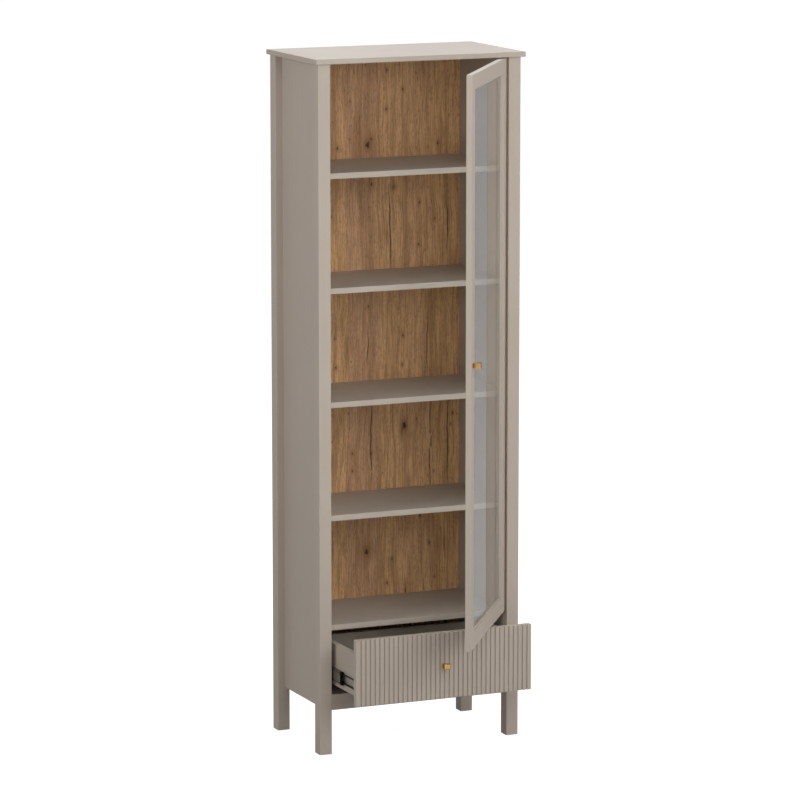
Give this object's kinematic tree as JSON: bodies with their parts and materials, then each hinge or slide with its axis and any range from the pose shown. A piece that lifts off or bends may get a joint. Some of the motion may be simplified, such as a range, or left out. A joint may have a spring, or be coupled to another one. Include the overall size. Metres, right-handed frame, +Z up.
{
  "type": "display cabinet",
  "caption": "Tall narrow display cabinet on square legs, with a glazed hinged door before open shelves and a fluted drawer on telescopic slides below.",
  "frame": {"origin": "on the floor, in the middle of the footprint that the cabinet takes with its door and drawer as shown", "axes": "+X to the right of someone who stands before the cabinet, +Y to the wall behind it, +Z up"},
  "size_m": [0.63, 0.7776, 1.95],
  "materials": {
    "taupe_lacquer": "matt lacquer on board",
    "oak_veneer": "brown oak veneer, open grain",
    "clear_glass": "clear float glass",
    "antique_brass": "satin brass",
    "zinc_plated_steel": "bright zinc plate",
    "nickel_plated_steel": "nickel plate",
    "black_plastic": "moulded, matt"
  },
  "bodies": {
    "carcass": {"top_panel": "taupe_lacquer", "front_left_post": "taupe_lacquer", "front_right_post": "taupe_lacquer", "rear_left_post": "taupe_lacquer", "rear_right_post": "taupe_lacquer", "left_side_panel": "taupe_lacquer", "right_side_panel": "taupe_lacquer", "back_panel": "oak_veneer", "front_apron": "taupe_lacquer", "rear_rail": "taupe_lacquer", "bottom_board": "taupe_lacquer", "cabinet_floor": "taupe_lacquer", "shelf_1": "taupe_lacquer", "shelf_2": "taupe_lacquer", "shelf_3": "taupe_lacquer", "shelf_4": "taupe_lacquer", "shelf_brackets": "zinc_plated_steel", "foot_glides": "black_plastic", "left_slide_outer": "zinc_plated_steel", "right_slide_outer": "zinc_plated_steel", "hinge_plate_1": "nickel_plated_steel", "hinge_plate_2": "nickel_plated_steel", "hinge_plate_3": "nickel_plated_steel", "hinge_arm_1": "nickel_plated_steel", "hinge_arm_2": "nickel_plated_steel", "hinge_arm_3": "nickel_plated_steel"},
    "door": {"door_hinge_stile": "taupe_lacquer", "door_free_stile": "taupe_lacquer", "door_top_rail": "taupe_lacquer", "door_bottom_rail": "taupe_lacquer", "glass_pane": "clear_glass", "glazing_beads": "taupe_lacquer", "hinge_cup_1": "nickel_plated_steel", "hinge_cup_2": "nickel_plated_steel", "hinge_cup_3": "nickel_plated_steel", "hinge_pins": "nickel_plated_steel", "door_knob": "antique_brass"},
    "drawer": {"drawer_front": "taupe_lacquer", "drawer_left_side": "taupe_lacquer", "drawer_right_side": "taupe_lacquer", "drawer_back": "taupe_lacquer", "drawer_bottom": "taupe_lacquer", "drawer_knob": "antique_brass", "left_slide_inner": "zinc_plated_steel", "right_slide_inner": "zinc_plated_steel", "release_levers": "black_plastic"},
    "slide_middles": {"left_slide_middle": "zinc_plated_steel", "right_slide_middle": "zinc_plated_steel", "slide_clips": "black_plastic"},
    "outer_cages": {"outer_ball_cages": "zinc_plated_steel", "outer_balls": "zinc_plated_steel"},
    "inner_cages": {"inner_ball_cages": "zinc_plated_steel", "inner_balls": "zinc_plated_steel"}
  },
  "joints": [
    {"name": "door_hinge", "type": "hinge", "parent": "carcass", "child": "door", "pos_m": [0.2555, 0.043, 0.3635], "axis": [0, 0, 1], "range_deg": [-55, 40]},
    {"name": "drawer_slide", "type": "slide", "parent": "carcass", "child": "drawer", "axis": [0, -1, 0], "range_m": [-0.168, 0.122]},
    {"name": "slide_middles_travel", "type": "slide", "parent": "carcass", "child": "slide_middles", "axis": [0, -1, 0], "range_m": [-0.084, 0.061]},
    {"name": "outer_cages_travel", "type": "slide", "parent": "carcass", "child": "outer_cages", "axis": [0, -1, 0], "range_m": [-0.042, 0.0305]},
    {"name": "inner_cages_travel", "type": "slide", "parent": "carcass", "child": "inner_cages", "axis": [0, -1, 0], "range_m": [-0.126, 0.0915]}
  ],
  "couplings": [
    {"joint": "slide_middles_travel", "follows": "drawer_slide", "ratio": 0.5},
    {"joint": "outer_cages_travel", "follows": "drawer_slide", "ratio": 0.25},
    {"joint": "inner_cages_travel", "follows": "drawer_slide", "ratio": 0.75}
  ]
}
